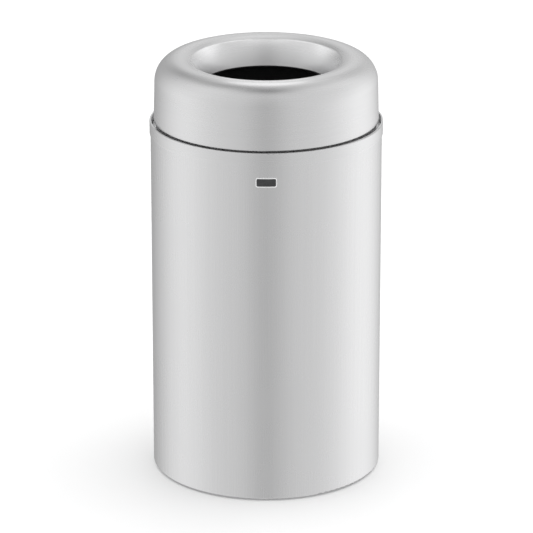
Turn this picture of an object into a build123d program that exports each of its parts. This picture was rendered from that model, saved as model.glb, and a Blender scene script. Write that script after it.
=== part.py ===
"""Open-top trash can: a rolled aluminium body, a spun aluminium top with a bell-mouth throat,
and a rigid plastic liner that lifts out once the top is off.

Millimetres. The origin is on the floor under the can's axis, +Z is up, and the front faces -Y.
Each sheet part is one line drawn along its face, thickened to the sheet and turned round the axis.
"""

from build123d import *
import os
from math import asin, cos, degrees, radians, sin, tan

# Driving dimensions of the body
body_diameter = 381.0
body_height = 598.0
body_sheet = 1.2
bottom_lip_width = 10.0
bottom_bend_radius = 3.0
seam_fold_width = 9.0
seam_fold_depth = 2.4
seam_line_width = 1.0
seam_line_depth = 0.5
seam_end_clearance = 6.0

# Rim band round the mouth of the body
band_height = 21.0
band_sheet = 1.6
band_corner_radius = 1.5

# Ledge ring inside the mouth, which carries the top
ledge_drop = 14.0
ledge_width = 11.0
ledge_sheet = 1.5
ledge_leg_height = 16.0
ledge_lip_height = 6.0
ledge_corner_radius = 2.5

# Base pan, feet and their fasteners
foot_lift = 3.0
pan_sheet = 1.2
pan_recess = 16.0
pan_bend_radius = 4.0
pan_flange_width = 8.0
plateau_height = 6.0
plateau_inset = 55.3
plateau_ramp = 7.0
foot_inset = 29.3
first_foot_angle = 45.0
foot_base_diameter = 26.0
foot_top_diameter = 32.0
foot_edge_radius = 1.5
screw_diameter = 5.0
screw_head_diameter = 9.5
screw_head_height = 3.0
screw_head_chamfer = 1.0
screw_hole_clearance = 0.3
screw_pocket_depth = 9.0
screw_pocket_clearance = 1.5
nut_across_flats = 8.0
nut_height = 3.6
nut_thread_clearance = 0.05

# Bare plate on the front
plate_width = 34.0
plate_height = 15.5
plate_corner_radius = 3.0
plate_thickness = 0.8
plate_border_width = 1.3
plate_border_height = 0.4
plate_drop = 49.0

# Spun top
top_sheet = 1.5
top_rise = 106.0
skirt_inset = 6.9
skirt_taper = 1.5
shoulder_radius = 39.5
crease_inset = 60.9
crease_drop = 5.0
crease_round = 6.0
funnel_width = 19.8
throat_depth = 45.0
funnel_radius = 110.0
curl_radius = 3.2
curl_turn = 215.0
groove_height = 1.0
neck_step = 4.8
neck_bend_radius = 1.2
skirt_bend_radius = 1.5
flange_clearance = 1.0

# Liner
liner_wall = 2.5
liner_base_inset = 17.8
liner_corner_radius = 14.0
liner_draft = 0.6
liner_rim_clearance = 4.5
liner_rim_width = 8.0
liner_rim_skirt = 13.0
liner_rim_corner = 2.0
liner_throat_gap = 7.0
stack_step = 3.0
stack_step_drop = 60.0
stack_step_rise = 6.0
grip_width = 92.0
grip_height = 27.0
grip_drop = 105.0

# Feet in order round the axis, anticlockwise from above
foot_names = ("foot_rear_right", "foot_rear_left", "foot_front_left", "foot_front_right")
foot_count = len(foot_names)

# Radii and levels that follow from these sizes
body_radius = body_diameter / 2
bore_radius = body_radius - body_sheet
band_radius = body_radius + band_sheet
rim_level = foot_lift + body_height
shell_top = rim_level - band_sheet
ledge_level = rim_level - ledge_drop
ledge_bore_radius = bore_radius - ledge_width
pan_level = foot_lift + pan_recess
plateau_level = pan_level + plateau_height
plateau_radius = bore_radius - plateau_inset
foot_height = pan_level - pan_sheet
foot_circle_radius = bore_radius - foot_inset
plate_level = rim_level - plate_drop
apex_level = rim_level + top_rise
crease_level = apex_level - crease_drop
throat_level = apex_level - throat_depth
skirt_radius = band_radius - skirt_inset
crease_radius = skirt_radius - crease_inset
throat_radius = crease_radius - funnel_width
neck_radius = skirt_radius - neck_step
liner_rim_radius = ledge_bore_radius - liner_rim_clearance
liner_base_radius = liner_rim_radius - liner_base_inset
liner_rim_level = throat_level - curl_radius - liner_throat_gap

os.makedirs("parts", exist_ok=True)


# Body shell: rolled sheet, with a lip turned in under the base pan
with BuildPart() as body_shell:
    with BuildSketch(Plane.XZ):
        with BuildLine():
            FilletPolyline(
                (body_radius - bottom_lip_width, foot_lift),
                (body_radius, foot_lift),
                (body_radius, shell_top),
                radius=bottom_bend_radius,
            )
            offset(amount=body_sheet, side=Side.LEFT)
        make_face()
    revolve(axis=Axis.Z)
    # The rolled sheet is locked along the back, with its fold on the inside and a line outside
    seam_foot = pan_level + seam_end_clearance
    seam_height = ledge_level - ledge_leg_height - seam_end_clearance - seam_foot
    fold_inner_face = bore_radius - seam_fold_depth
    with BuildSketch(Plane.XY.offset(seam_foot)):
        with Locations((0, fold_inner_face)):
            fold_thickness = seam_fold_depth + body_sheet / 2
            Rectangle(seam_fold_width, fold_thickness, align=(Align.CENTER, Align.MIN))
    extrude(amount=seam_height)
    with BuildSketch(Plane.XY.offset(foot_lift + bottom_bend_radius)):
        with Locations((0, body_radius - seam_line_depth)):
            Rectangle(seam_line_width, 2 * seam_line_depth, align=(Align.CENTER, Align.MIN))
    extrude(amount=shell_top - foot_lift - bottom_bend_radius, mode=Mode.SUBTRACT)
body_shell.part.label = "body_shell"
export_step(body_shell.part, "parts/body_shell.step")


# Rim band: a strip rolled round the mouth, turned in over the shell's edge
with BuildPart() as rim_band:
    with BuildSketch(Plane.XZ):
        with BuildLine():
            FilletPolyline(
                (band_radius, rim_level - band_height),
                (band_radius, rim_level),
                (bore_radius, rim_level),
                radius=band_corner_radius,
            )
            offset(amount=band_sheet, side=Side.LEFT)
        make_face()
    revolve(axis=Axis.Z)
rim_band.part.label = "rim_band"
export_step(rim_band.part, "parts/rim_band.step")


# Ledge ring: an angle with a stiffening lip, fixed inside the mouth
with BuildPart() as ledge_ring:
    with BuildSketch(Plane.XZ):
        with BuildLine():
            FilletPolyline(
                (ledge_bore_radius, ledge_level - ledge_lip_height),
                (ledge_bore_radius, ledge_level),
                (bore_radius, ledge_level),
                (bore_radius, ledge_level - ledge_leg_height),
                radius=ledge_corner_radius,
            )
            offset(amount=ledge_sheet, side=Side.RIGHT)
        make_face()
    revolve(axis=Axis.Z)
ledge_ring.part.label = "ledge_ring"
export_step(ledge_ring.part, "parts/ledge_ring.step")


# Base pan: its flange lies on the shell's lip, and the liner stands on its raised plateau
lip_level = foot_lift + body_sheet
screw_hole_radius = screw_diameter / 2 + screw_hole_clearance
with BuildPart() as base_pan:
    with BuildSketch(Plane.XZ):
        with BuildLine():
            FilletPolyline(
                (bore_radius - pan_flange_width, lip_level),
                (bore_radius, lip_level),
                (bore_radius, pan_level),
                (plateau_radius + plateau_ramp, pan_level),
                (plateau_radius, plateau_level),
                (0, plateau_level),
                radius=(
                    bottom_bend_radius - body_sheet,
                    pan_bend_radius,
                    pan_bend_radius,
                    pan_bend_radius,
                ),
            )
            offset(amount=pan_sheet, side=Side.LEFT)
        make_face()
    revolve(axis=Axis.Z)
    with BuildSketch(Plane.XY.offset(foot_height)):
        with PolarLocations(foot_circle_radius, foot_count, start_angle=first_foot_angle):
            Circle(screw_hole_radius)
    extrude(amount=pan_sheet, mode=Mode.SUBTRACT)
base_pan.part.label = "base_pan"
export_step(base_pan.part, "parts/base_pan.step")


# Feet: rubber cones under the pan's outer channel, each with a pocket for its screw's head
foot_flare = degrees(asin((foot_top_diameter - foot_base_diameter) / 2 / foot_height))
for foot_place, foot_name in enumerate(foot_names):
    foot_angle = first_foot_angle + foot_place * 360 / foot_count
    foot_centre = Vector(foot_circle_radius, 0, 0).rotate(Axis.Z, foot_angle)
    with BuildPart() as foot:
        with BuildSketch(Plane(origin=foot_centre)):
            Circle(foot_base_diameter / 2)
        extrude(amount=foot_height, taper=-foot_flare)
        fillet(foot.edges().sort_by(Axis.Z)[0], radius=foot_edge_radius)
        with Locations(Plane(origin=foot_centre, z_dir=(0, 0, -1))):
            CounterBoreHole(
                radius=screw_hole_radius,
                counter_bore_radius=screw_head_diameter / 2 + screw_pocket_clearance,
                counter_bore_depth=screw_pocket_depth,
                depth=foot_height,
            )
    foot.part.label = foot_name
    export_step(foot.part, f"parts/{foot_name}.step")


# Foot screws: one up through each foot and the pan
screw_radius = screw_diameter / 2
head_level = screw_pocket_depth - screw_head_height
screw_end_level = pan_level + nut_height
with BuildPart() as foot_screws:
    with BuildSketch(Plane.XY.offset(head_level)):
        with PolarLocations(foot_circle_radius, foot_count, start_angle=first_foot_angle):
            Circle(screw_head_diameter / 2)
    extrude(amount=screw_head_height)
    chamfer(foot_screws.faces().group_by(Axis.Z)[0].edges(), length=screw_head_chamfer)
    with BuildSketch(Plane.XY.offset(screw_pocket_depth)):
        with PolarLocations(foot_circle_radius, foot_count, start_angle=first_foot_angle):
            Circle(screw_radius)
    extrude(amount=screw_end_level - screw_pocket_depth)
foot_screws.part.label = "foot_screws"
export_step(foot_screws.part, "parts/foot_screws.step")


# Foot nuts: on the pan, lower than the plateau, so that the liner clears them
with BuildPart() as foot_nuts:
    with BuildSketch(Plane.XY.offset(pan_level)):
        with PolarLocations(foot_circle_radius, foot_count, start_angle=first_foot_angle):
            RegularPolygon(nut_across_flats / 2, 6, major_radius=False)
            Circle(screw_radius + nut_thread_clearance, mode=Mode.SUBTRACT)
    extrude(amount=nut_height)
foot_nuts.part.label = "foot_nuts"
export_step(foot_nuts.part, "parts/foot_nuts.step")


# Plate: a thin bare plate that follows the shell, with a raised border
plate_base_radius = body_radius + plate_thickness
plate_border_radius = plate_base_radius + plate_border_height
with BuildPart() as plate_border:
    with BuildSketch(Plane.XZ.offset(body_radius - plate_width / 2)):
        with Locations((0, plate_level)):
            RectangleRounded(plate_width, plate_height, plate_corner_radius)
            RectangleRounded(
                plate_width - 2 * plate_border_width,
                plate_height - 2 * plate_border_width,
                plate_corner_radius - plate_border_width,
                mode=Mode.SUBTRACT,
            )
    extrude(amount=plate_width)
    with BuildSketch(Plane.XY.offset(plate_level - plate_height)):
        Circle(plate_border_radius)
        Circle(plate_base_radius, mode=Mode.SUBTRACT)
    extrude(amount=2 * plate_height, mode=Mode.INTERSECT)
with BuildPart() as front_plate:
    with BuildSketch(Plane.XZ.offset(body_radius - plate_width / 2)):
        with Locations((0, plate_level)):
            RectangleRounded(plate_width, plate_height, plate_corner_radius)
    extrude(amount=plate_width)
    with BuildSketch(Plane.XY.offset(plate_level - plate_height)):
        Circle(plate_base_radius)
        Circle(body_radius, mode=Mode.SUBTRACT)
    extrude(amount=2 * plate_height, mode=Mode.INTERSECT)
    add(plate_border.part)
front_plate.part.label = "front_plate"
export_step(front_plate.part, "parts/front_plate.step")


# Spun top: one sheet from the turned-out flange, up the neck and the tapered skirt, over the
# rolled shoulder, down the bell-mouth throat and round its safety curl
taper = radians(skirt_taper)
shoulder_centre_level = apex_level - shoulder_radius
apex_radius = (
    skirt_radius - shoulder_radius / cos(taper) - (shoulder_centre_level - rim_level) * tan(taper)
)
shoulder_start = (
    apex_radius + shoulder_radius * cos(taper),
    shoulder_centre_level + shoulder_radius * sin(taper),
)
crease_run = apex_radius - crease_radius
crown_radius = (crease_run**2 + crease_drop**2) / (2 * crease_drop)
crown_turn = degrees(asin(crease_run / crown_radius))
throat_chord = Vector(throat_radius - crease_radius, throat_level - crease_level)
funnel_half_turn = asin(throat_chord.length / 2 / funnel_radius)
throat_direction = throat_chord.rotate(Axis.Z, degrees(funnel_half_turn))
with BuildPart() as spun_top:
    with BuildSketch(Plane.XZ):
        with BuildLine() as top_line:
            FilletPolyline(
                (bore_radius - flange_clearance, ledge_level + top_sheet),
                (neck_radius, ledge_level + top_sheet),
                (neck_radius, rim_level + groove_height),
                (skirt_radius - groove_height * tan(taper), rim_level + groove_height),
                shoulder_start,
                radius=(neck_bend_radius, neck_bend_radius, skirt_bend_radius),
            )
            shoulder = JernArc(
                shoulder_start, (-sin(taper), cos(taper)), shoulder_radius, 90 - skirt_taper
            )
            crown = JernArc(shoulder @ 1, (-1, 0), crown_radius, crown_turn)
            funnel = RadiusArc(crown @ 1, (throat_radius, throat_level), -funnel_radius)
            JernArc(funnel @ 1, throat_direction, curl_radius, curl_turn)
            fillet(top_line.vertices().sort_by_distance(crown @ 1)[0], radius=crease_round)
            offset(amount=top_sheet, side=Side.RIGHT)
        make_face()
    revolve(axis=Axis.Z)
spun_top.part.label = "spun_top"
export_step(spun_top.part, "parts/spun_top.step")


# Liner: stands on the pan's plateau, with a stacking step, a turned-down rim and two hand grips
draft = tan(radians(liner_draft))
stack_level = liner_rim_level - stack_step_drop
rim_underside = liner_rim_level - liner_wall
rim_outer_line = liner_rim_radius - liner_wall
wall_top_radius = rim_outer_line - liner_rim_width
wall_above_step = wall_top_radius - (rim_underside - stack_level) * draft
wall_below_step = wall_above_step - stack_step
with BuildPart() as liner:
    with BuildSketch(Plane.XZ):
        with BuildLine():
            FilletPolyline(
                (0, plateau_level),
                (liner_base_radius, plateau_level),
                (wall_below_step, stack_level - stack_step_rise),
                (wall_above_step, stack_level),
                (wall_top_radius, rim_underside),
                (rim_outer_line, rim_underside),
                (rim_outer_line, liner_rim_level - liner_rim_skirt),
                radius=(
                    liner_corner_radius,
                    liner_rim_corner,
                    liner_rim_corner,
                    liner_rim_corner,
                    liner_rim_corner,
                ),
            )
            offset(amount=liner_wall, side=Side.LEFT)
        make_face()
    revolve(axis=Axis.Z)
    with BuildSketch(Plane.YZ):
        with Locations((0, liner_rim_level - grip_drop)):
            SlotOverall(grip_width, grip_height)
    extrude(amount=liner_rim_radius, both=True, mode=Mode.SUBTRACT)
liner.part.label = "liner"
export_step(liner.part, "parts/liner.step")
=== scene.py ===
"""Looks of an open-top trash can, in metres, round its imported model.

The can is a rolled satin body with a band round its mouth, a spun top, and a black liner inside.
Each sub-assembly is a class that knows its sizes and dresses its pieces. Each finish is a frozen
dataclass that makes one material. Effects that several finishes use are shader node groups.
"""

import logging
import math
from dataclasses import dataclass
from enum import Enum
from typing import Any

import bpy
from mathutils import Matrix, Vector


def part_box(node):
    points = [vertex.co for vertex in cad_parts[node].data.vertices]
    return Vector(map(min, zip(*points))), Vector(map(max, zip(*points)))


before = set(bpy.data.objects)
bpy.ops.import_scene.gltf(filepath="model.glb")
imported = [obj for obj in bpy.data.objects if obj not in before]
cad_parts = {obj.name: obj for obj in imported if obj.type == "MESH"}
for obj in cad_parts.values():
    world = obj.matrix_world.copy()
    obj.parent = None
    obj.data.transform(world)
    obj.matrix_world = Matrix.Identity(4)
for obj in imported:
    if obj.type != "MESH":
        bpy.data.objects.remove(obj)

Socket = bpy.types.NodeSocket
Colour = tuple[float, float, float]

log = logging.getLogger("trash_can")

MILLIMETRES_PER_METRE = 1000.0
AXIS_GUARD = 1e-5
LEVEL_GUARD = 1e-4
LEVEL_VIEW = 90.0


class PanelShape(Enum):
    """The shape of a soft light panel, as the metal mirrors it."""

    TALL = "tall"
    ROUND = "round"


class GrainWay(Enum):
    """The way a brushed finish was drawn over the metal."""

    AROUND = "grain_around"
    UPRIGHT = "grain_upright"


class Graph:
    """A node tree being wired up, for a material, a world or a shared group."""

    def __init__(self, tree: bpy.types.NodeTree) -> None:
        """Starts on an empty tree.

        Args:
            tree: The node tree to fill.
        """
        self.tree = tree
        self.output: bpy.types.Node | None = None
        tree.nodes.clear()

    def node(
        self, kind: str, values: dict[str | int, Any] | None = None, **settings: Any
    ) -> bpy.types.Node:
        """Adds one node.

        Args:
            kind: The node's type name.
            values: What goes into its input sockets, by name or place: a socket or a constant.
            settings: The node's own properties.

        Returns:
            The new node.
        """
        made = self.tree.nodes.new(kind)
        for name, setting in settings.items():
            setattr(made, name, setting)
        for name, value in (values or {}).items():
            self.feed(made.inputs[name], value)
        return made

    def feed(self, socket: Socket, value: Any) -> None:
        """Links a socket to another, or sets its constant.

        Args:
            socket: The input that is fed.
            value: An output socket, a number, a colour or a vector.
        """
        if isinstance(value, bpy.types.NodeSocket):
            self.tree.links.new(value, socket)
        elif socket.type == "RGBA" and len(value) == 3:
            socket.default_value = (*value, 1.0)
        else:
            socket.default_value = value

    def math(self, operation: str, *values: Any, clamp: bool = False) -> Socket:
        """Adds a Math node and returns its result."""
        inputs = dict(enumerate(values))
        return self.node("ShaderNodeMath", inputs, operation=operation, use_clamp=clamp).outputs[0]

    def blend(self, share: Any, first: Any, second: Any) -> Socket:
        """Mixes two colours.

        Args:
            share: How much of the second colour shows, from 0 to 1.
            first: The colour at 0.
            second: The colour at 1.

        Returns:
            The mixed colour.
        """
        mix = self.node("ShaderNodeMix", data_type="RGBA")
        self.feed(mix.inputs["Factor"], share)
        self.feed(mix.inputs[6], first)
        self.feed(mix.inputs[7], second)
        return mix.outputs[2]

    def fade(self, value: Any, start: Any, end: Any, low: float = 0.0, high: float = 1.0) -> Socket:
        """Turns a value into a smooth step.

        Args:
            value: The value that is read.
            start: Where the step starts.
            end: Where the step ends.
            low: What comes out at the start.
            high: What comes out at the end.

        Returns:
            The stepped value.
        """
        inputs = {"Value": value, "From Min": start, "From Max": end, "To Min": low, "To Max": high}
        step = self.node("ShaderNodeMapRange", inputs, interpolation_type="SMOOTHSTEP")
        return step.outputs["Result"]

    def noise(self, vector: Any, scale: float, detail: float = 2.0, w: Any = None) -> Socket:
        """Adds a noise texture.

        Args:
            vector: Where the texture is read.
            scale: How fine it is.
            detail: How many finer layers it has.
            w: A fourth coordinate, or None for a texture in three.

        Returns:
            The texture's value, about 0.5 on average.
        """
        texture = self.node("ShaderNodeTexNoise", {"Scale": scale, "Detail": detail})
        if w is not None:
            texture.noise_dimensions = "4D"
            self.feed(texture.inputs["W"], w)
        self.feed(texture.inputs["Vector"], vector)
        return texture.outputs["Fac"]

    def group(self, tree: bpy.types.NodeTree, **values: Any) -> bpy.types.Node:
        """Places a shared group.

        Args:
            tree: The group.
            values: What goes into its inputs, by their names.

        Returns:
            The placed group's node.
        """
        placed = self.node("ShaderNodeGroup", node_tree=tree)
        for name, value in values.items():
            self.feed(placed.inputs[name], value)
        return placed


def new_group(name: str, inputs: dict[str, float], outputs: tuple[str, ...]) -> tuple[Graph, Any, Any]:
    """Starts a shared shader node group of plain values.

    Args:
        name: The group's name.
        inputs: Each input's name and usual value.
        outputs: The names of the outputs.

    Returns:
        The graph to fill, its input node and its output node.
    """
    tree = bpy.data.node_groups.new(name, "ShaderNodeTree")
    for label, usual in inputs.items():
        made = tree.interface.new_socket(label, in_out="INPUT", socket_type="NodeSocketFloat")
        made.default_value = usual
    for label in outputs:
        tree.interface.new_socket(label, in_out="OUTPUT", socket_type="NodeSocketFloat")
    graph = Graph(tree)
    return graph, graph.node("NodeGroupInput"), graph.node("NodeGroupOutput")


class SharedEffects:
    """The shader node groups that more than one finish uses, each built once."""

    usual_grain: dict[str, float] = {"Lines": 2200.0, "Sweep": 2.0}
    usual_wear: dict[str, float] = {"Position": 0.0, "Edge": 0.0, "Width": 0.001, "Breakup": 60.0}
    usual_smudges: dict[str, float] = {"Patches": 9.0, "Amount": 1.0}
    usual_dust: dict[str, float] = {"Amount": 0.2}
    smudge_distortion: float = 0.6
    dust_fineness: float = 420.0

    def __init__(self) -> None:
        """Builds every group."""
        self.place = self.build_place()
        self.grain = {
            GrainWay.AROUND: self.build_turned_grain(),
            GrainWay.UPRIGHT: self.build_drawn_grain(),
        }
        self.edge_wear = self.build_edge_wear()
        self.smudges = self.build_smudges()
        self.dust = self.build_dust()

    def build_place(self) -> bpy.types.NodeTree:
        """Makes the group that says where a point is on a round part.

        Returns:
            A group with the point's radius, height, and the sine and cosine of its bearing.
        """
        graph, _, out = new_group("place_on_can", {}, ("Radius", "Height", "Cosine", "Sine"))
        coordinates = graph.node("ShaderNodeTexCoord").outputs["Object"]
        parts = graph.node("ShaderNodeSeparateXYZ", {0: coordinates})
        x, y, z = parts.outputs
        square = graph.math("ADD", graph.math("MULTIPLY", x, x), graph.math("MULTIPLY", y, y))
        radius = graph.math("MAXIMUM", graph.math("SQRT", square), AXIS_GUARD)
        graph.feed(out.inputs["Radius"], radius)
        graph.feed(out.inputs["Height"], z)
        graph.feed(out.inputs["Cosine"], graph.math("DIVIDE", x, radius))
        graph.feed(out.inputs["Sine"], graph.math("DIVIDE", y, radius))
        return graph.tree

    def build_turned_grain(self) -> bpy.types.NodeTree:
        """Makes fine lines that run round the axis, as spinning and polishing leave them.

        Returns:
            A group with a grain value round 0.5, for Lines to the metre.
        """
        graph, given, out = new_group("grain_around", self.usual_grain, ("Grain",))
        place = graph.group(self.place)
        lines = given.outputs["Lines"]
        across = graph.math("MULTIPLY", place.outputs["Radius"], lines)
        up = graph.math("MULTIPLY", place.outputs["Height"], lines)
        sweep = given.outputs["Sweep"]
        turn = graph.math("MULTIPLY", place.outputs["Cosine"], sweep)
        other = graph.math("MULTIPLY", place.outputs["Sine"], sweep)
        vector = graph.node("ShaderNodeCombineXYZ", {0: across, 1: up, 2: turn}).outputs[0]
        graph.feed(out.inputs["Grain"], graph.noise(vector, scale=1.0, w=other))
        return graph.tree

    def build_drawn_grain(self) -> bpy.types.NodeTree:
        """Makes fine lines that run up and down, as a brushed sheet has them once it is rolled.

        Returns:
            A group with a grain value round 0.5, for Lines to the metre.
        """
        graph, given, out = new_group("grain_upright", self.usual_grain, ("Grain",))
        coordinates = graph.node("ShaderNodeTexCoord").outputs["Object"]
        lines = given.outputs["Lines"]
        stretch = graph.node("ShaderNodeCombineXYZ", {0: lines, 1: lines, 2: given.outputs["Sweep"]})
        scaled = graph.node(
            "ShaderNodeVectorMath", {0: coordinates, 1: stretch.outputs[0]}, operation="MULTIPLY"
        )
        graph.feed(out.inputs["Grain"], graph.noise(scaled.outputs[0], scale=1.0))
        return graph.tree

    def build_edge_wear(self) -> bpy.types.NodeTree:
        """Makes a broken line of wear along an edge.

        Returns:
            A group whose mask is 1 where Position is at Edge, and 0 a Width away.
        """
        graph, given, out = new_group("edge_wear", self.usual_wear, ("Mask",))
        gap = graph.math("SUBTRACT", given.outputs["Position"], given.outputs["Edge"])
        share = graph.math("DIVIDE", graph.math("ABSOLUTE", gap), given.outputs["Width"])
        near = graph.fade(share, start=0.0, end=1.0, low=1.0, high=0.0)
        coordinates = graph.node("ShaderNodeTexCoord").outputs["Object"]
        patches = graph.node("ShaderNodeTexNoise", {"Vector": coordinates, "Detail": 3.0})
        graph.feed(patches.inputs["Scale"], given.outputs["Breakup"])
        broken = graph.fade(patches.outputs["Fac"], start=0.35, end=0.62)
        graph.feed(out.inputs["Mask"], graph.math("MULTIPLY", near, broken))
        return graph.tree

    def build_smudges(self) -> bpy.types.NodeTree:
        """Makes soft cloudy patches, as wiping and hands leave them.

        Returns:
            A group with a mask from 0 to Amount, for Patches to the metre.
        """
        graph, given, out = new_group("smudges", self.usual_smudges, ("Mask",))
        coordinates = graph.node("ShaderNodeTexCoord").outputs["Object"]
        inputs = {"Vector": coordinates, "Detail": 5.0, "Distortion": self.smudge_distortion}
        cloud = graph.node("ShaderNodeTexNoise", inputs)
        graph.feed(cloud.inputs["Scale"], given.outputs["Patches"])
        soft = graph.fade(cloud.outputs["Fac"], start=0.45, end=0.75)
        graph.feed(out.inputs["Mask"], graph.math("MULTIPLY", soft, given.outputs["Amount"]))
        return graph.tree

    def build_dust(self) -> bpy.types.NodeTree:
        """Makes fine dust on faces that look up.

        Returns:
            A group with a mask from 0 to Amount.
        """
        graph, given, out = new_group("settled_dust", self.usual_dust, ("Mask",))
        geometry = graph.node("ShaderNodeNewGeometry")
        up = graph.node("ShaderNodeSeparateXYZ", {0: geometry.outputs["Normal"]}).outputs[2]
        facing = graph.fade(up, start=0.55, end=0.98)
        coordinates = graph.node("ShaderNodeTexCoord").outputs["Object"]
        grit = graph.noise(coordinates, scale=self.dust_fineness, detail=4.0)
        specks = graph.fade(grit, start=0.42, end=0.7)
        both = graph.math("MULTIPLY", facing, specks)
        graph.feed(out.inputs["Mask"], graph.math("MULTIPLY", both, given.outputs["Amount"]))
        return graph.tree


def new_material(name: str) -> tuple[bpy.types.Material, Graph, bpy.types.Node]:
    """Starts a material with a Principled shader.

    Args:
        name: The material's name.

    Returns:
        The material, its graph and its shader.
    """
    material = bpy.data.materials.new(name)
    material.use_nodes = True
    graph = Graph(material.node_tree)
    shader = graph.node("ShaderNodeBsdfPrincipled")
    graph.output = graph.node("ShaderNodeOutputMaterial", {"Surface": shader.outputs["BSDF"]})
    return material, graph, shader


@dataclass(frozen=True)
class BrushedAluminium:
    """Satin aluminium, brushed one way, with worn edges, faint smudges, and painted shade down a mouth
    and along a seam.
    """

    name: str
    way: GrainWay
    colour: Colour = (0.80, 0.80, 0.805)
    worn_colour: Colour = (0.88, 0.88, 0.885)
    roughness: float = 0.27
    lines: float = 2200.0
    grain_contrast: float = 0.025
    grain_depth: float = 0.000003
    broad_step: float = 9.0
    broad_share: float = 1 / 3
    dark_share: float = 0.985
    smudge_roughness: float = 0.03
    # The next fields paint shade: a darker, rougher colour down a mouth, inward of a radius and below a
    # level, and along a back seam.
    shade_radius: float = 0.0
    shade_level: float = 0.0
    shade_amount: float = 0.0
    shade_edge: float = 0.012
    shade_depth: float = 0.035
    shade_patches: float = 26.0
    shade_roughness: float = 0.1
    # Colour of the painted shade.
    shade_colour: Colour = (0.16, 0.16, 0.16)
    seam_half_width: float = 0.0
    seam_fade: float = 1.6
    worn_radius: float = 0.0
    worn_levels: tuple[float, ...] = ()
    wear_width: float = 0.0016
    wear_amount: float = 0.35
    wear_polish: float = 0.09

    def make(self, effects: SharedEffects) -> bpy.types.Material:
        """Builds the material.

        Args:
            effects: The shared node groups.

        Returns:
            The finished material.
        """
        material, graph, shader = new_material(self.name)
        grain = graph.group(effects.grain[self.way], Lines=self.lines).outputs["Grain"]
        broad = graph.group(effects.grain[self.way], Lines=self.lines / self.broad_step).outputs["Grain"]
        smudge = graph.group(effects.smudges).outputs["Mask"]
        wear = self.wear(graph, effects)
        lift = graph.math("MULTIPLY", graph.math("SUBTRACT", grain, 0.5), self.grain_contrast)
        broad_contrast = self.grain_contrast * self.broad_share
        sway = graph.math("MULTIPLY", graph.math("SUBTRACT", broad, 0.5), broad_contrast)
        rough = graph.math("ADD", graph.math("ADD", lift, sway), self.roughness)
        rough = graph.math("ADD", rough, graph.math("MULTIPLY", smudge, self.smudge_roughness))
        rough = graph.math("SUBTRACT", rough, graph.math("MULTIPLY", wear, self.wear_polish))
        darker = tuple(part * self.dark_share for part in self.colour)
        base = graph.blend(graph.fade(broad, start=0.3, end=0.7), darker, self.colour)
        base = graph.blend(wear, base, self.worn_colour)
        # Painted shade: this mask darkens and roughens the metal down the mouth and along the back seam.
        painted_shade = self.painted_shade(graph, effects)
        base = graph.blend(painted_shade, base, self.shade_colour)
        rough = graph.math("MULTIPLY_ADD", painted_shade, self.shade_roughness, rough)
        graph.feed(shader.inputs["Base Color"], base)
        graph.feed(shader.inputs["Roughness"], rough)
        shader.inputs["Metallic"].default_value = 1.0
        bump = graph.node("ShaderNodeBump", {"Height": grain, "Distance": self.grain_depth})
        graph.feed(shader.inputs["Normal"], bump.outputs["Normal"])
        return material

    def painted_shade(self, graph: Graph, effects: SharedEffects) -> Any:
        """Adds up the painted shade: darker, rougher metal down a mouth below its crease and along a
        back seam, where shade falls.

        Args:
            graph: The material's graph.
            effects: The shared node groups.

        Returns:
            A socket with the painted shade mask, or 0 where none is painted.
        """
        place = graph.group(effects.place)
        total: Any = 0.0
        # Painted shade down the mouth: darker inward of the crease and deeper down, with patches
        # breaking it up, standing in for the shade in the throat.
        if self.shade_amount:
            radius, level = self.shade_radius, self.shade_level
            inside = graph.fade(place.outputs["Radius"], radius, radius - self.shade_edge)
            low = graph.fade(place.outputs["Height"], level, level - self.shade_depth)
            coordinates = graph.node("ShaderNodeTexCoord").outputs["Object"]
            patches = graph.noise(coordinates, scale=self.shade_patches, detail=4.0)
            cloud = graph.fade(patches, start=0.2, end=0.8, low=0.8, high=1.0)
            both = graph.math("MULTIPLY", graph.math("MULTIPLY", inside, low), cloud)
            total = graph.math("MULTIPLY", both, self.shade_amount)
        # Painted shade along the back seam, standing in for the shadow in its groove.
        if self.seam_half_width:
            side = graph.math("MULTIPLY", place.outputs["Radius"], place.outputs["Cosine"])
            outer = self.seam_half_width * self.seam_fade
            near = graph.fade(graph.math("ABSOLUTE", side), outer, self.seam_half_width)
            rear = graph.math("GREATER_THAN", place.outputs["Sine"], 0.0)
            total = graph.math("MAXIMUM", total, graph.math("MULTIPLY", near, rear))
        return total

    def wear(self, graph: Graph, effects: SharedEffects) -> Any:
        """Adds up the wear along this piece's edges.

        Args:
            graph: The material's graph.
            effects: The shared node groups.

        Returns:
            A socket with the mask, or 0 where no edge is worn.
        """
        place = graph.group(effects.place)
        edges = [("Height", level) for level in self.worn_levels]
        if self.worn_radius:
            edges.append(("Radius", self.worn_radius))
        total: Any = 0.0
        for measure, edge in edges:
            line = graph.group(
                effects.edge_wear, Position=place.outputs[measure], Edge=edge, Width=self.wear_width
            )
            total = graph.math("MAXIMUM", total, line.outputs["Mask"])
        return graph.math("MULTIPLY", total, self.wear_amount)


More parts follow.
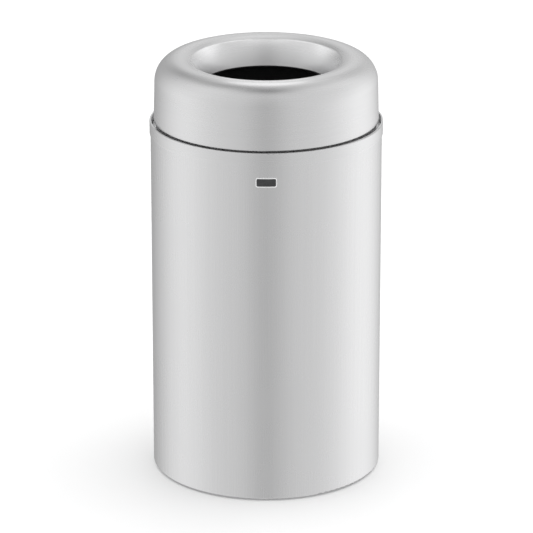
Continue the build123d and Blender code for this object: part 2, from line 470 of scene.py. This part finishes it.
@dataclass(frozen=True)
class MillAluminium:
    """Plain sheet as it comes from the mill, with rolling lines and a dull bloom."""

    name: str = "rolled_sheet"
    colour: Colour = (0.62, 0.62, 0.63)
    bloom_colour: Colour = (0.50, 0.505, 0.52)
    smoothest: float = 0.35
    roughest: float = 0.52
    lines: float = 700.0
    line_stretch: float = 12.0
    line_depth: float = 0.00003
    line_share: float = 0.25
    dust_amount: float = 0.35
    dusty_metal: float = 0.6

    def make(self, effects: SharedEffects) -> bpy.types.Material:
        """Builds the material.

        Args:
            effects: The shared node groups.

        Returns:
            The finished material.
        """
        material, graph, shader = new_material(self.name)
        coordinates = graph.node("ShaderNodeTexCoord").outputs["Object"]
        scale = (self.lines, self.line_stretch, self.line_stretch)
        stretch = graph.node("ShaderNodeMapping", {"Vector": coordinates, "Scale": scale})
        rolled = graph.noise(stretch.outputs[0], scale=1.0, detail=3.0)
        bloom = graph.group(effects.smudges, Patches=16.0).outputs["Mask"]
        dust = graph.group(effects.dust, Amount=self.dust_amount).outputs["Mask"]
        base = graph.blend(bloom, self.colour, self.bloom_colour)
        base = graph.blend(graph.math("MULTIPLY", rolled, self.line_share), base, self.bloom_colour)
        graph.feed(shader.inputs["Base Color"], base)
        rough = graph.fade(rolled, start=0.2, end=0.8, low=self.smoothest, high=self.roughest)
        graph.feed(shader.inputs["Roughness"], rough)
        metal = graph.fade(dust, start=0.0, end=1.0, low=1.0, high=self.dusty_metal)
        graph.feed(shader.inputs["Metallic"], metal)
        bump = graph.node("ShaderNodeBump", {"Height": rolled, "Distance": self.line_depth})
        graph.feed(shader.inputs["Normal"], bump.outputs["Normal"])
        return material


@dataclass(frozen=True)
class MouldedPlastic:
    """Black moulded plastic with a fine eroded face, scuffs and some dust."""

    rim_level: float
    name: str = "liner_plastic"
    colour: Colour = (0.025, 0.025, 0.026)
    scuff_colour: Colour = (0.05, 0.05, 0.051)
    smoothest: float = 0.47
    roughest: float = 0.58
    specular: float = 0.5
    pores: float = 1500.0
    pore_depth: float = 0.00006
    scuff_lines: float = 260.0
    scuff_sweep: float = 9.0
    scuff_amount: float = 0.4
    scuff_roughness: float = 0.1
    rim_wear_width: float = 0.002
    dust_amount: float = 0.25

    def make(self, effects: SharedEffects) -> bpy.types.Material:
        """Builds the material.

        Args:
            effects: The shared node groups.

        Returns:
            The finished material.
        """
        material, graph, shader = new_material(self.name)
        coordinates = graph.node("ShaderNodeTexCoord").outputs["Object"]
        pores = graph.noise(coordinates, scale=self.pores, detail=3.0)
        upright = effects.grain[GrainWay.UPRIGHT]
        scuffs = graph.group(upright, Lines=self.scuff_lines, Sweep=self.scuff_sweep).outputs["Grain"]
        scuffed = graph.fade(scuffs, start=0.62, end=0.78)
        place = graph.group(effects.place)
        height = place.outputs["Height"]
        rim = graph.group(
            effects.edge_wear, Position=height, Edge=self.rim_level, Width=self.rim_wear_width
        )
        dust = graph.group(effects.dust, Amount=self.dust_amount).outputs["Mask"]
        scuffed = graph.math("MULTIPLY", scuffed, self.scuff_amount)
        marks = graph.math("MAXIMUM", scuffed, rim.outputs["Mask"])
        base = graph.blend(graph.math("MAXIMUM", marks, dust), self.colour, self.scuff_colour)
        graph.feed(shader.inputs["Base Color"], base)
        rough = graph.fade(pores, start=0.3, end=0.7, low=self.smoothest, high=self.roughest)
        rough = graph.math("MULTIPLY_ADD", marks, self.scuff_roughness, rough)
        graph.feed(shader.inputs["Roughness"], rough)
        shader.inputs["Specular IOR Level"].default_value = self.specular
        bump = graph.node("ShaderNodeBump", {"Height": pores, "Distance": self.pore_depth})
        graph.feed(shader.inputs["Normal"], bump.outputs["Normal"])
        return material


@dataclass(frozen=True)
class FootRubber:
    """Matt black rubber with a fine bloom, paler where it has rubbed on floors."""

    name: str = "matt_rubber"
    colour: Colour = (0.018, 0.018, 0.018)
    rubbed_colour: Colour = (0.06, 0.058, 0.055)
    smoothest: float = 0.70
    roughest: float = 0.86
    skin_fineness: float = 900.0
    skin_depth: float = 0.00008
    rubbed_height: float = 0.003
    rubbed_breakup: float = 240.0
    bloom_patches: float = 70.0
    bloom_amount: float = 0.4

    def make(self, effects: SharedEffects) -> bpy.types.Material:
        """Builds the material.

        Args:
            effects: The shared node groups.

        Returns:
            The finished material.
        """
        material, graph, shader = new_material(self.name)
        coordinates = graph.node("ShaderNodeTexCoord").outputs["Object"]
        skin = graph.noise(coordinates, scale=self.skin_fineness, detail=4.0)
        height = graph.group(effects.place).outputs["Height"]
        rubbed = graph.group(
            effects.edge_wear, Position=height, Width=self.rubbed_height, Breakup=self.rubbed_breakup
        )
        bloom = graph.group(effects.smudges, Patches=self.bloom_patches, Amount=self.bloom_amount)
        paler = graph.math("MAXIMUM", rubbed.outputs["Mask"], bloom.outputs["Mask"])
        graph.feed(shader.inputs["Base Color"], graph.blend(paler, self.colour, self.rubbed_colour))
        rough = graph.fade(skin, start=0.3, end=0.7, low=self.smoothest, high=self.roughest)
        graph.feed(shader.inputs["Roughness"], rough)
        bump = graph.node("ShaderNodeBump", {"Height": skin, "Distance": self.skin_depth})
        graph.feed(shader.inputs["Normal"], bump.outputs["Normal"])
        return material


@dataclass(frozen=True)
class ZincSteel:
    """Bright zinc plate with a faint yellow and blue cast and a few dull spots."""

    name: str = "bright_zinc"
    colour: Colour = (0.66, 0.66, 0.62)
    cast_colour: Colour = (0.56, 0.60, 0.66)
    roughness: float = 0.34
    spangle_fineness: float = 380.0
    spangle_depth: float = 0.00003
    dull_patches: float = 180.0
    dull_roughness: float = 0.2

    def make(self, effects: SharedEffects) -> bpy.types.Material:
        """Builds the material.

        Args:
            effects: The shared node groups.

        Returns:
            The finished material.
        """
        material, graph, shader = new_material(self.name)
        coordinates = graph.node("ShaderNodeTexCoord").outputs["Object"]
        spangle = graph.noise(coordinates, scale=self.spangle_fineness)
        dull = graph.group(effects.smudges, Patches=self.dull_patches).outputs["Mask"]
        cast = graph.fade(spangle, start=0.35, end=0.65)
        base = graph.blend(cast, self.colour, self.cast_colour)
        graph.feed(shader.inputs["Base Color"], base)
        rough = graph.math("MULTIPLY_ADD", dull, self.dull_roughness, self.roughness)
        graph.feed(shader.inputs["Roughness"], rough)
        shader.inputs["Metallic"].default_value = 1.0
        bump = graph.node("ShaderNodeBump", {"Height": spangle, "Distance": self.spangle_depth})
        graph.feed(shader.inputs["Normal"], bump.outputs["Normal"])
        return material


@dataclass(frozen=True)
class EnamelPlate:
    """A bare plate: a dark enamel field inside a bright raised border."""

    centre_level: float
    half_width: float
    half_height: float
    name: str = "enamel_plate"
    border_width: float = 0.0013
    corner_radius: float = 0.0022
    border_metal: float = 0.2
    border_start: float = 0.93
    border_full: float = 1.05
    smoothest: float = 0.24
    roughest: float = 0.34
    fleck_fineness: float = 2600.0
    fleck_depth: float = 0.00001
    chalk_patches: float = 120.0
    chalk_amount: float = 0.5
    field_colour: Colour = (0.035, 0.036, 0.038)
    chalk_colour: Colour = (0.075, 0.076, 0.078)
    border_colour: Colour = (0.93, 0.93, 0.935)

    def make(self, effects: SharedEffects) -> bpy.types.Material:
        """Builds the material.

        Args:
            effects: The shared node groups.

        Returns:
            The finished material.
        """
        material, graph, shader = new_material(self.name)
        coordinates = graph.node("ShaderNodeTexCoord").outputs["Object"]
        x, _, z = graph.node("ShaderNodeSeparateXYZ", {0: coordinates}).outputs
        inset = self.border_width + self.corner_radius
        across = graph.math("SUBTRACT", graph.math("ABSOLUTE", x), self.half_width - inset)
        level = graph.math("ABSOLUTE", graph.math("SUBTRACT", z, self.centre_level))
        along = graph.math("SUBTRACT", level, self.half_height - inset)
        sides = {0: graph.math("MAXIMUM", across, 0), 1: graph.math("MAXIMUM", along, 0)}
        offset = graph.node("ShaderNodeCombineXYZ", sides)
        length = graph.node("ShaderNodeVectorMath", {0: offset.outputs[0]}, operation="LENGTH")
        reach = length.outputs["Value"]
        radius = self.corner_radius
        border = graph.fade(reach, radius * self.border_start, radius * self.border_full)
        fleck = graph.noise(coordinates, scale=self.fleck_fineness, detail=3.0)
        cloud = graph.group(effects.smudges, Patches=self.chalk_patches, Amount=self.chalk_amount)
        enamel = graph.blend(cloud.outputs["Mask"], self.field_colour, self.chalk_colour)
        graph.feed(shader.inputs["Base Color"], graph.blend(border, enamel, self.border_colour))
        graph.feed(shader.inputs["Metallic"], graph.math("MULTIPLY", border, self.border_metal))
        rough = graph.fade(fleck, start=0.3, end=0.7, low=self.smoothest, high=self.roughest)
        graph.feed(shader.inputs["Roughness"], rough)
        bump = graph.node("ShaderNodeBump", {"Height": fleck, "Distance": self.fleck_depth})
        graph.feed(shader.inputs["Normal"], bump.outputs["Normal"])
        return material


def dress(node: str, material: bpy.types.Material) -> None:
    """Gives one piece of the model its finish, and reports it.

    Args:
        node: The piece's name.
        material: The finish.
    """
    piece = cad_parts[node]
    for slot in piece.material_slots:
        slot.material = material
    low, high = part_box(node)
    sides = (MILLIMETRES_PER_METRE * side for side in high - low)
    log.info("%s: %s, %.0f x %.0f x %.0f mm", node, material.name, *sides)


@dataclass
class BodyShell:
    """The rolled body with its band, ledge ring and base pan."""

    foot_level: float
    rim_level: float
    band_foot: float
    foot_wear_width: float = 0.003
    # Half the width of the painted shade line along the back seam.
    seam_half_width: float = 0.0005

    @classmethod
    def from_frame(cls) -> "BodyShell":
        """Reads the sizes from the model and returns the sub-assembly."""
        return cls(
            foot_level=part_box("body_shell")[0].z,
            rim_level=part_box("rim_band")[1].z,
            band_foot=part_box("rim_band")[0].z,
        )

    def build(self, effects: SharedEffects) -> None:
        """Dresses the shell, the band, the ring and the pan.

        Args:
            effects: The shared node groups.
        """
        # The shell's finish paints a line of shade along its back seam.
        shell = BrushedAluminium(
            "satin_shell",
            GrainWay.UPRIGHT,
            worn_levels=(self.foot_level,),
            wear_width=self.foot_wear_width,
            seam_half_width=self.seam_half_width,
        )
        dress("body_shell", shell.make(effects))
        band = BrushedAluminium(
            "satin_band", GrainWay.AROUND, worn_levels=(self.rim_level, self.band_foot)
        )
        dress("rim_band", band.make(effects))
        mill = MillAluminium().make(effects)
        dress("ledge_ring", mill)
        dress("base_pan", mill)


@dataclass
class SpunTop:
    """The lift-off top, spun from one sheet."""

    apex_level: float
    crease_radius: float = 0.1243
    crease_drop: float = 0.008
    crease_wear_width: float = 0.004
    # Strength of the painted shade down the mouth.
    shade_amount: float = 0.28

    @classmethod
    def from_frame(cls) -> "SpunTop":
        """Reads the sizes from the model and returns the sub-assembly."""
        return cls(apex_level=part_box("spun_top")[1].z)

    def build(self, effects: SharedEffects) -> None:
        """Dresses the top.

        Args:
            effects: The shared node groups.
        """
        # The top's finish paints shade down the mouth, inward of the crease and below the apex.
        finish = BrushedAluminium(
            "satin_top",
            GrainWay.AROUND,
            worn_radius=self.crease_radius,
            wear_width=self.crease_wear_width,
            shade_radius=self.crease_radius,
            shade_level=self.apex_level - self.crease_drop,
            shade_amount=self.shade_amount,
        )
        dress("spun_top", finish.make(effects))


@dataclass
class Liner:
    """The black liner."""

    rim_level: float

    @classmethod
    def from_frame(cls) -> "Liner":
        """Reads the sizes from the model and returns the sub-assembly."""
        return cls(rim_level=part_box("liner")[1].z)

    def build(self, effects: SharedEffects) -> None:
        """Dresses the liner.

        Args:
            effects: The shared node groups.
        """
        dress("liner", MouldedPlastic(rim_level=self.rim_level).make(effects))


@dataclass
class FootSet:
    """The four feet with their screws and nuts."""

    feet: tuple[str, ...] = ("foot_front_left", "foot_front_right", "foot_rear_left", "foot_rear_right")
    fasteners: tuple[str, ...] = ("foot_screws", "foot_nuts")

    def build(self, effects: SharedEffects) -> None:
        """Dresses the feet and their fasteners.

        Args:
            effects: The shared node groups.
        """
        rubber = FootRubber().make(effects)
        for foot in self.feet:
            dress(foot, rubber)
        zinc = ZincSteel().make(effects)
        for fastener in self.fasteners:
            dress(fastener, zinc)


@dataclass
class FrontPlate:
    """The small bare plate on the front."""

    low: Vector
    high: Vector

    @classmethod
    def from_frame(cls) -> "FrontPlate":
        """Reads the sizes from the model and returns the sub-assembly."""
        return cls(*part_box("front_plate"))

    def build(self, effects: SharedEffects) -> None:
        """Dresses the plate.

        Args:
            effects: The shared node groups.
        """
        half = (self.high - self.low) / 2
        finish = EnamelPlate((self.low.z + self.high.z) / 2, half.x, half.z)
        dress("front_plate", finish.make(effects))


@dataclass(frozen=True)
class Panel:
    """One soft light panel, or a dark gap between panels, round the can.

    A bearing is in degrees from straight ahead of the front, positive to the right. Spread is the angle
    from the middle to where the panel has faded to a half, and gain is what its middle adds.
    """

    shape: PanelShape
    bearing: float
    spread: float
    gain: float
    elevation: float = 0.0

    def light(self, graph: Graph, x: Socket, y: Socket, z: Socket, flat: Socket) -> Socket:
        """Works out what the panel adds in a direction.

        Args:
            graph: The world's graph.
            x: The direction's part to the right.
            y: The direction's part away from the camera.
            z: The direction's part upward.
            flat: The length of the direction's level part.

        Returns:
            The light that it adds, below zero for a gap.
        """
        bearing = math.radians(self.bearing)
        side = graph.math("MULTIPLY", x, math.sin(bearing))
        facing = graph.math("MULTIPLY_ADD", y, -math.cos(bearing), side)
        if self.shape is PanelShape.TALL:
            facing = graph.math("DIVIDE", facing, flat)
        else:
            rise = math.radians(self.elevation)
            level = graph.math("MULTIPLY", facing, math.cos(rise))
            facing = graph.math("MULTIPLY_ADD", z, math.sin(rise), level)
        closeness = graph.math("MULTIPLY_ADD", facing, 0.5, 0.5, clamp=True)
        half_way = 0.5 + 0.5 * math.cos(math.radians(self.spread))
        soft = graph.math("POWER", closeness, math.log(0.5) / math.log(half_way))
        if self.shape is PanelShape.TALL:
            soft = graph.math("MULTIPLY", soft, flat)
        return graph.math("MULTIPLY", soft, self.gain)


@dataclass
class Studio:
    """The pale floor, the soft light round the can and the camera."""

    camera_distance: float = 5.8214
    camera_height: float = 2.3787
    camera_pitch: float = 19.271
    camera_offset: float = 0.0004
    lens: float = 249.75
    sensor: float = 36.0
    floor_radius: float = 14.0
    floor_sides: int = 96
    floor_colour: Colour = (0.90, 0.90, 0.90)
    floor_patch_colour: Colour = (0.93, 0.93, 0.93)
    floor_patches: float = 3.0
    floor_roughness: float = 0.8
    floor_specular: float = 0.1
    wall_level: float = 0.71
    panels: tuple[Panel, ...] = (
        Panel(PanelShape.TALL, bearing=0, spread=15, gain=-0.20),
        Panel(PanelShape.TALL, bearing=-165, spread=30, gain=-0.28),
        Panel(PanelShape.TALL, bearing=166, spread=24, gain=-0.16),
        Panel(PanelShape.TALL, bearing=-93, spread=29, gain=0.25),
        Panel(PanelShape.TALL, bearing=115, spread=38, gain=0.42),
        Panel(PanelShape.ROUND, bearing=140, spread=17, gain=-0.12, elevation=14),
        Panel(PanelShape.ROUND, bearing=-138, spread=17, gain=-0.05, elevation=14),
        Panel(PanelShape.ROUND, bearing=102, spread=25, gain=-0.17, elevation=34),
        Panel(PanelShape.ROUND, bearing=-95, spread=18, gain=-0.08, elevation=28),
        Panel(PanelShape.ROUND, bearing=180, spread=15, gain=0.36, elevation=20),
        Panel(PanelShape.ROUND, bearing=180, spread=15, gain=0.50, elevation=54),
        Panel(PanelShape.ROUND, bearing=-156, spread=12, gain=-0.22, elevation=38),
        Panel(PanelShape.ROUND, bearing=156, spread=12, gain=-0.16, elevation=38),
        Panel(PanelShape.ROUND, bearing=-140, spread=13, gain=-0.36, elevation=64),
        Panel(PanelShape.ROUND, bearing=140, spread=13, gain=-0.24, elevation=64),
        Panel(PanelShape.ROUND, bearing=0, spread=12, gain=-0.50, elevation=86),
    )
    overhead_strength: float = 1.9
    overhead_spread: float = 95.0
    overhead_height: float = 3.0
    overhead_tilt: float = -8.0
    overhead_lean: float = 6.0
    mouth_light_height: float = 0.2
    mouth_light_width: float = 0.20
    mouth_light_depth: float = 0.21
    mouth_light_setback: float = 0.065
    mouth_light_power: float = 0.035
    card_width: float = 0.13
    card_height: float = 0.08
    card_setback: float = 0.10
    card_clearance: float = 0.02
    card_power: float = 0.010
    backdrop_level: float = 1.0

    def build(self) -> None:
        """Makes the floor, the light and the camera."""
        self.build_floor()
        self.build_world()
        self.build_overhead_light()
        self.build_mouth_light()
        self.build_lip_card()
        self.build_camera()

    def build_floor(self) -> None:
        """Makes a plain round floor, clear from below, which the metal doesn't mirror."""
        bpy.ops.mesh.primitive_circle_add(
            vertices=self.floor_sides, radius=self.floor_radius, fill_type="NGON"
        )
        floor = bpy.context.object
        floor.name = "studio_floor"
        material, graph, shader = new_material("pale_floor")
        coordinates = graph.node("ShaderNodeTexCoord").outputs["Object"]
        tone = graph.noise(coordinates, scale=self.floor_patches)
        base = graph.blend(tone, self.floor_colour, self.floor_patch_colour)
        graph.feed(shader.inputs["Base Color"], base)
        shader.inputs["Roughness"].default_value = self.floor_roughness
        shader.inputs["Specular IOR Level"].default_value = self.floor_specular
        below = graph.node("ShaderNodeNewGeometry").outputs["Backfacing"]
        clear = graph.node("ShaderNodeBsdfTransparent").outputs["BSDF"]
        mix = graph.node("ShaderNodeMixShader", {0: below, 1: shader.outputs["BSDF"], 2: clear})
        graph.feed(graph.output.inputs["Surface"], mix.outputs[0])
        floor.data.materials.append(material)
        floor.visible_glossy = False

    def build_world(self) -> None:
        """Makes the light round the can: soft panels and gaps on a pale wall."""
        world = bpy.data.worlds.new("studio")
        bpy.context.scene.world = world
        world.use_nodes = True
        graph = Graph(world.node_tree)
        direction = graph.node("ShaderNodeTexCoord").outputs["Generated"]
        x, y, z = graph.node("ShaderNodeSeparateXYZ", {0: direction}).outputs
        flat = graph.math("ADD", graph.math("MULTIPLY", x, x), graph.math("MULTIPLY", y, y))
        flat = graph.math("MAXIMUM", graph.math("SQRT", flat), LEVEL_GUARD)
        level: Any = self.wall_level
        for panel in self.panels:
            level = graph.math("ADD", level, panel.light(graph, x, y, z, flat))
        seen = graph.node("ShaderNodeLightPath").outputs["Is Camera Ray"]
        around = graph.node("ShaderNodeBackground", {"Strength": level})
        backdrop = graph.node("ShaderNodeBackground", {"Strength": self.backdrop_level})
        for background in (around, backdrop):
            background.inputs["Color"].default_value = (1.0, 1.0, 1.0, 1.0)
        mix = graph.node("ShaderNodeMixShader", {0: seen, 1: around.outputs[0], 2: backdrop.outputs[0]})
        output = graph.node("ShaderNodeOutputWorld")
        graph.feed(output.inputs["Surface"], mix.outputs[0])

    def build_overhead_light(self) -> None:
        """Adds wide soft light from above, for the floor and everything matt."""
        data = bpy.data.lights.new("overhead_light", "SUN")
        data.energy = self.overhead_strength
        data.angle = math.radians(self.overhead_spread)
        light = bpy.data.objects.new("overhead_light", data)
        light.location = (0.0, 0.0, self.overhead_height)
        light.rotation_euler = (math.radians(self.overhead_tilt), math.radians(self.overhead_lean), 0.0)
        light.visible_glossy = False
        bpy.context.scene.collection.objects.link(light)

    def build_mouth_light(self) -> None:
        """Hangs a small soft light over the mouth, which the far side of the crown mirrors."""
        data = bpy.data.lights.new("mouth_light", "AREA")
        data.shape = "ELLIPSE"
        data.size = self.mouth_light_width
        data.size_y = self.mouth_light_depth
        data.energy = self.mouth_light_power
        light = bpy.data.objects.new("mouth_light", data)
        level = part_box("spun_top")[1].z + self.mouth_light_height
        light.location = (0.0, self.mouth_light_setback, level)
        light.visible_camera = False
        bpy.context.scene.collection.objects.link(light)

    def build_lip_card(self) -> None:
        """Hangs a small soft card over the back of the mouth, which the near lip mirrors."""
        data = bpy.data.lights.new("lip_card", "AREA")
        data.shape = "RECTANGLE"
        data.size = self.card_width
        data.size_y = self.card_height
        data.energy = self.card_power
        light = bpy.data.objects.new("lip_card", data)
        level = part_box("spun_top")[1].z + self.card_clearance + self.card_height / 2
        light.location = (0.0, self.card_setback, level)
        light.rotation_euler = (math.radians(-LEVEL_VIEW), 0.0, 0.0)
        light.visible_camera = False
        bpy.context.scene.collection.objects.link(light)

    def build_camera(self) -> None:
        """Puts the camera where the photograph was taken from."""
        data = bpy.data.cameras.new("photo_camera")
        data.lens = self.lens
        data.sensor_width = self.sensor
        camera = bpy.data.objects.new("photo_camera", data)
        camera.location = (self.camera_offset, -self.camera_distance, self.camera_height)
        camera.rotation_euler = (math.radians(LEVEL_VIEW - self.camera_pitch), 0.0, 0.0)
        bpy.context.scene.collection.objects.link(camera)
        bpy.context.scene.camera = camera
        bpy.context.scene.view_settings.view_transform = "Standard"


def main() -> None:
    """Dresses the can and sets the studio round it."""
    logging.basicConfig(level=logging.INFO, format="%(message)s")
    bpy.context.view_layer.update()
    effects = SharedEffects()
    parts = (
        BodyShell.from_frame(),
        SpunTop.from_frame(),
        Liner.from_frame(),
        FootSet(),
        FrontPlate.from_frame(),
    )
    for part in parts:
        part.build(effects)
    Studio().build()
    bpy.context.view_layer.update()


if __name__ == "__main__":
    main()
